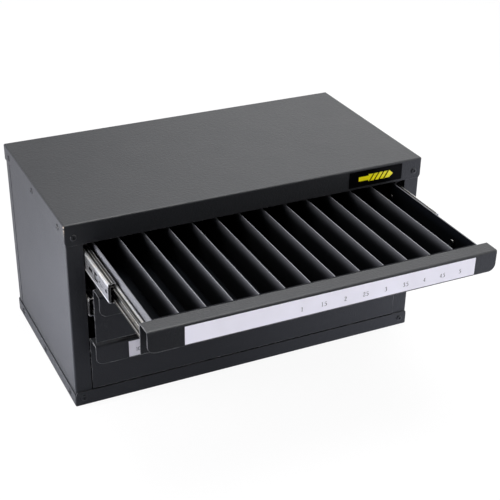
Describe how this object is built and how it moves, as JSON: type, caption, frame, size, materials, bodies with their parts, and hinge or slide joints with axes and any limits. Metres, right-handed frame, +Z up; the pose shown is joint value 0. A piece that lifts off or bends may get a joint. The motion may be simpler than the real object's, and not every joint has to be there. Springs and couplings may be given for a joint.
{
  "type": "drill bit dispenser cabinet",
  "caption": "Low folded-steel bench cabinet with shallow and deep drawers on ball slides, divided front to back into compartments that keep drill bits by size.",
  "frame": {"origin": "centre of the flat underside of the base", "axes": "+Z up, the drawers open towards -Y, +X to the right seen from the front"},
  "size_m": [0.372, 0.3524, 0.1945],
  "materials": {
    "ball_steel": "polished",
    "bumper_rubber": "matt",
    "cage_steel": "thin bright strip, greased",
    "case_paint": "matt black powder coat, fine texture",
    "divider_paint": "matt black powder coat, fine texture",
    "drawer_paint": "matt black powder coat, fine texture",
    "label_paper": "pale printed paper, matt",
    "plate_black": "smooth black film",
    "rivet_black": "satin black",
    "rivet_steel": "zinc-plated",
    "screw_steel": "bright nickel plate",
    "slide_steel": "bright zinc-plated rolled steel",
    "upright_steel": "bright zinc-plated sheet"
  },
  "bodies": {
    "cabinet": {"bottom_pan": "case_paint", "top_cap": "case_paint", "left_side_panel": "case_paint", "right_side_panel": "case_paint", "back_panel": "case_paint", "shell_rivets": "rivet_black", "front_plate": "plate_black", "left_slide_uprights": "upright_steel", "right_slide_uprights": "upright_steel", "slide_rivets": "rivet_steel", "slide_bumpers": "bumper_rubber", "top_left_outer_member": "slide_steel", "top_right_outer_member": "slide_steel", "middle_left_outer_member": "slide_steel", "middle_right_outer_member": "slide_steel", "bottom_left_outer_member": "slide_steel", "bottom_right_outer_member": "slide_steel"},
    "top_drawer": {"top_drawer_tray": "drawer_paint", "top_drawer_front": "drawer_paint", "top_dividers": "divider_paint", "top_label": "label_paper", "top_slide_screws": "screw_steel", "top_left_inner_member": "slide_steel", "top_right_inner_member": "slide_steel"},
    "top_mid_members": {"top_left_mid_member": "slide_steel", "top_right_mid_member": "slide_steel"},
    "top_outer_cage_set": {"top_outer_cages": "cage_steel", "top_outer_balls": "ball_steel"},
    "top_inner_cage_set": {"top_inner_cages": "cage_steel", "top_inner_balls": "ball_steel"},
    "middle_drawer": {"middle_drawer_tray": "drawer_paint", "middle_drawer_front": "drawer_paint", "middle_dividers": "divider_paint", "middle_label": "label_paper", "middle_slide_screws": "screw_steel", "middle_left_inner_member": "slide_steel", "middle_right_inner_member": "slide_steel"},
    "middle_mid_members": {"middle_left_mid_member": "slide_steel", "middle_right_mid_member": "slide_steel"},
    "middle_outer_cage_set": {"middle_outer_cages": "cage_steel", "middle_outer_balls": "ball_steel"},
    "middle_inner_cage_set": {"middle_inner_cages": "cage_steel", "middle_inner_balls": "ball_steel"},
    "bottom_drawer": {"bottom_drawer_tray": "drawer_paint", "bottom_drawer_front": "drawer_paint", "bottom_dividers": "divider_paint", "bottom_label": "label_paper", "bottom_slide_screws": "screw_steel", "bottom_left_inner_member": "slide_steel", "bottom_right_inner_member": "slide_steel"},
    "bottom_mid_members": {"bottom_left_mid_member": "slide_steel", "bottom_right_mid_member": "slide_steel"},
    "bottom_outer_cage_set": {"bottom_outer_cages": "cage_steel", "bottom_outer_balls": "ball_steel"},
    "bottom_inner_cage_set": {"bottom_inner_cages": "cage_steel", "bottom_inner_balls": "ball_steel"}
  },
  "joints": [
    {"name": "top_drawer_slide", "type": "slide", "parent": "cabinet", "child": "top_drawer", "axis": [0, -1, 0], "range_m": [-0.1373, 0.0127]},
    {"name": "top_mid_member_slide", "type": "slide", "parent": "cabinet", "child": "top_mid_members", "axis": [0, -1, 0], "range_m": [-0.06865, 0.00635]},
    {"name": "top_outer_cage_slide", "type": "slide", "parent": "cabinet", "child": "top_outer_cage_set", "axis": [0, -1, 0], "range_m": [-0.03433, 0.00317]},
    {"name": "top_inner_cage_slide", "type": "slide", "parent": "cabinet", "child": "top_inner_cage_set", "axis": [0, -1, 0], "range_m": [-0.10297, 0.00953]},
    {"name": "middle_drawer_slide", "type": "slide", "parent": "cabinet", "child": "middle_drawer", "axis": [0, -1, 0], "range_m": [-0.0186, 0.1314]},
    {"name": "middle_mid_member_slide", "type": "slide", "parent": "cabinet", "child": "middle_mid_members", "axis": [0, -1, 0], "range_m": [-0.0093, 0.0657]},
    {"name": "middle_outer_cage_slide", "type": "slide", "parent": "cabinet", "child": "middle_outer_cage_set", "axis": [0, -1, 0], "range_m": [-0.00465, 0.03285]},
    {"name": "middle_inner_cage_slide", "type": "slide", "parent": "cabinet", "child": "middle_inner_cage_set", "axis": [0, -1, 0], "range_m": [-0.01395, 0.09855]},
    {"name": "bottom_drawer_slide", "type": "slide", "parent": "cabinet", "child": "bottom_drawer", "axis": [0, -1, 0], "range_m": [0, 0.15]},
    {"name": "bottom_mid_member_slide", "type": "slide", "parent": "cabinet", "child": "bottom_mid_members", "axis": [0, -1, 0], "range_m": [0, 0.075]},
    {"name": "bottom_outer_cage_slide", "type": "slide", "parent": "cabinet", "child": "bottom_outer_cage_set", "axis": [0, -1, 0], "range_m": [0, 0.0375]},
    {"name": "bottom_inner_cage_slide", "type": "slide", "parent": "cabinet", "child": "bottom_inner_cage_set", "axis": [0, -1, 0], "range_m": [0, 0.1125]}
  ],
  "couplings": [
    {"joint": "top_mid_member_slide", "follows": "top_drawer_slide", "ratio": 0.5},
    {"joint": "top_outer_cage_slide", "follows": "top_drawer_slide", "ratio": 0.25},
    {"joint": "top_inner_cage_slide", "follows": "top_drawer_slide", "ratio": 0.75},
    {"joint": "middle_mid_member_slide", "follows": "middle_drawer_slide", "ratio": 0.5},
    {"joint": "middle_outer_cage_slide", "follows": "middle_drawer_slide", "ratio": 0.25},
    {"joint": "middle_inner_cage_slide", "follows": "middle_drawer_slide", "ratio": 0.75},
    {"joint": "bottom_mid_member_slide", "follows": "bottom_drawer_slide", "ratio": 0.5},
    {"joint": "bottom_outer_cage_slide", "follows": "bottom_drawer_slide", "ratio": 0.25},
    {"joint": "bottom_inner_cage_slide", "follows": "bottom_drawer_slide", "ratio": 0.75}
  ]
}
